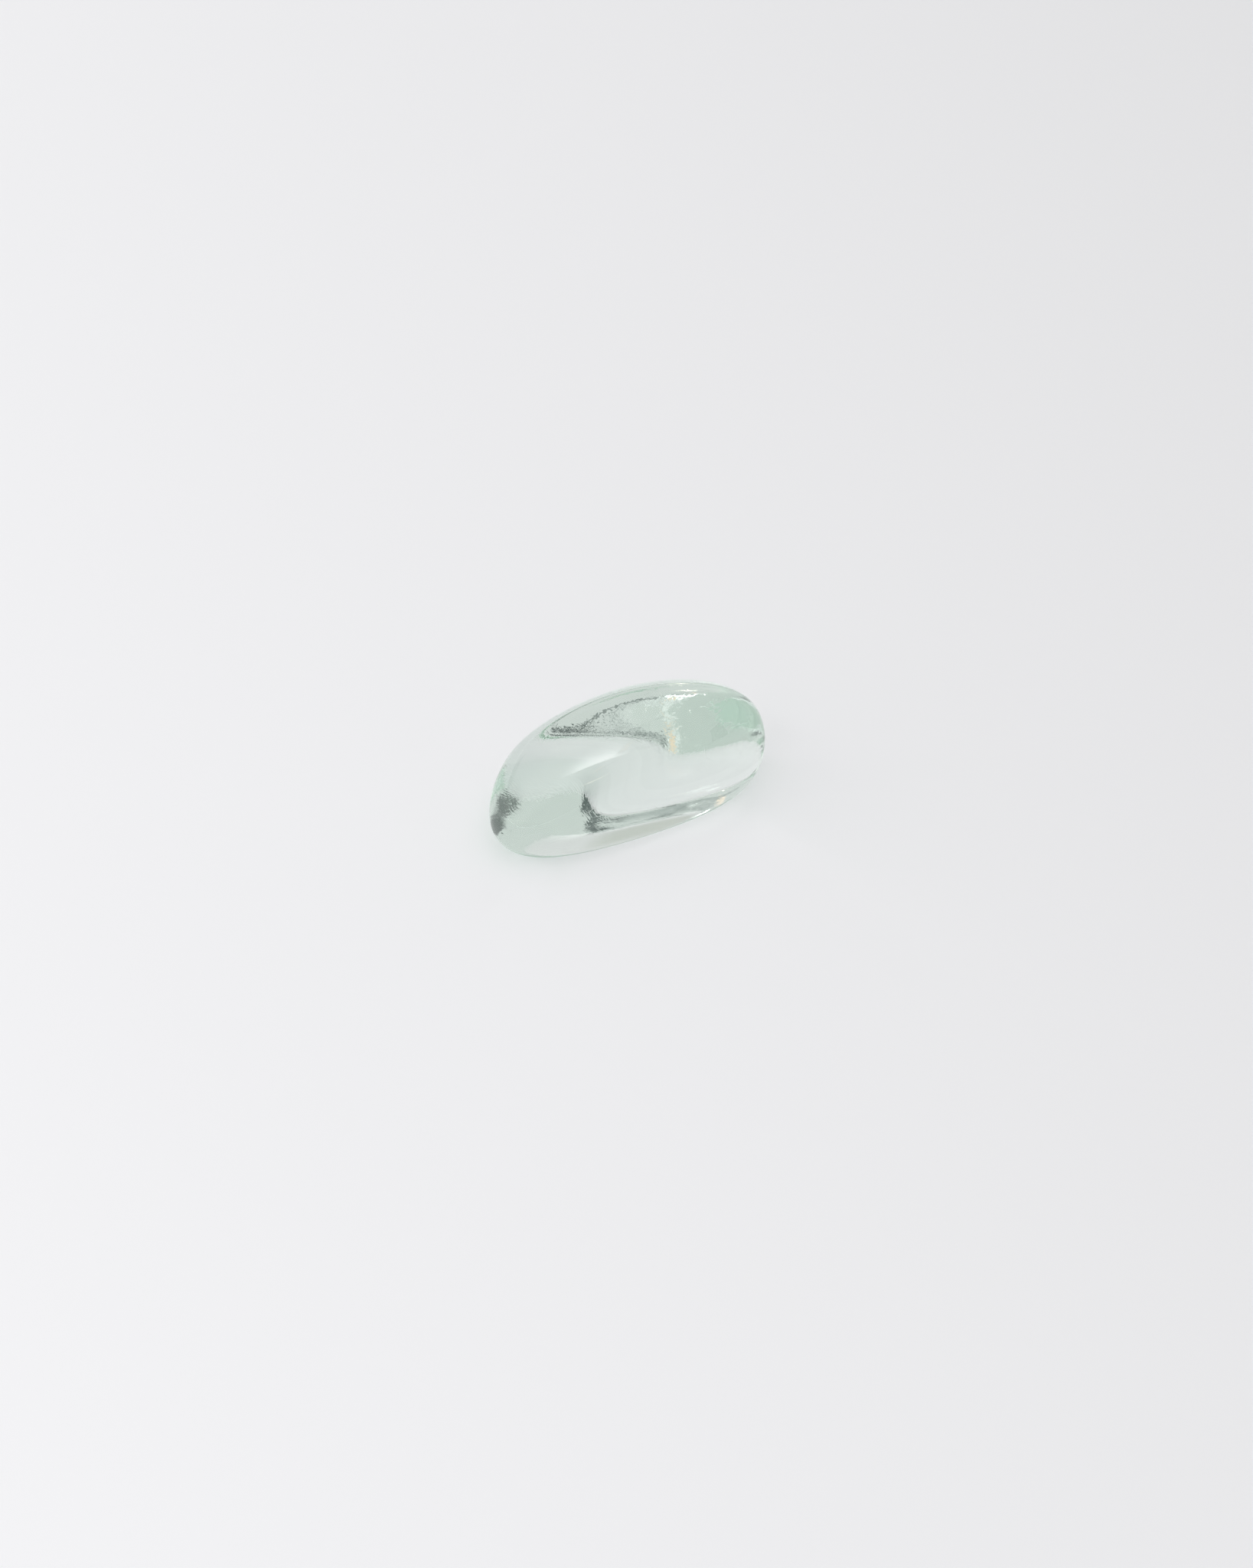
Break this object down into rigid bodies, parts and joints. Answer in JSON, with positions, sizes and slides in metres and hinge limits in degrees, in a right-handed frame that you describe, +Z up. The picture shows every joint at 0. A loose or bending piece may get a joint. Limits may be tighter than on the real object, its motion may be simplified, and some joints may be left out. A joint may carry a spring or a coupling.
{
  "type": "aquamarine stone",
  "caption": "Tumbled pebble of clear pale blue-green aquamarine, a smooth softly ridged oval that lies on a small worn flat.",
  "frame": {"origin": "centre of the bounding box at its lowest face, where the stone rests", "axes": "+X along the stone's long axis towards its raised end, +Y across it towards its undercut back, +Z up"},
  "size_m": [0.0282, 0.0126, 0.0149],
  "materials": {
    "aquamarine": "clear pale blue-green beryl, tumble-polished, with fine pits and hairline scratches"
  },
  "bodies": {
    "root": {"stone": "aquamarine"}
  },
  "joints": []
}
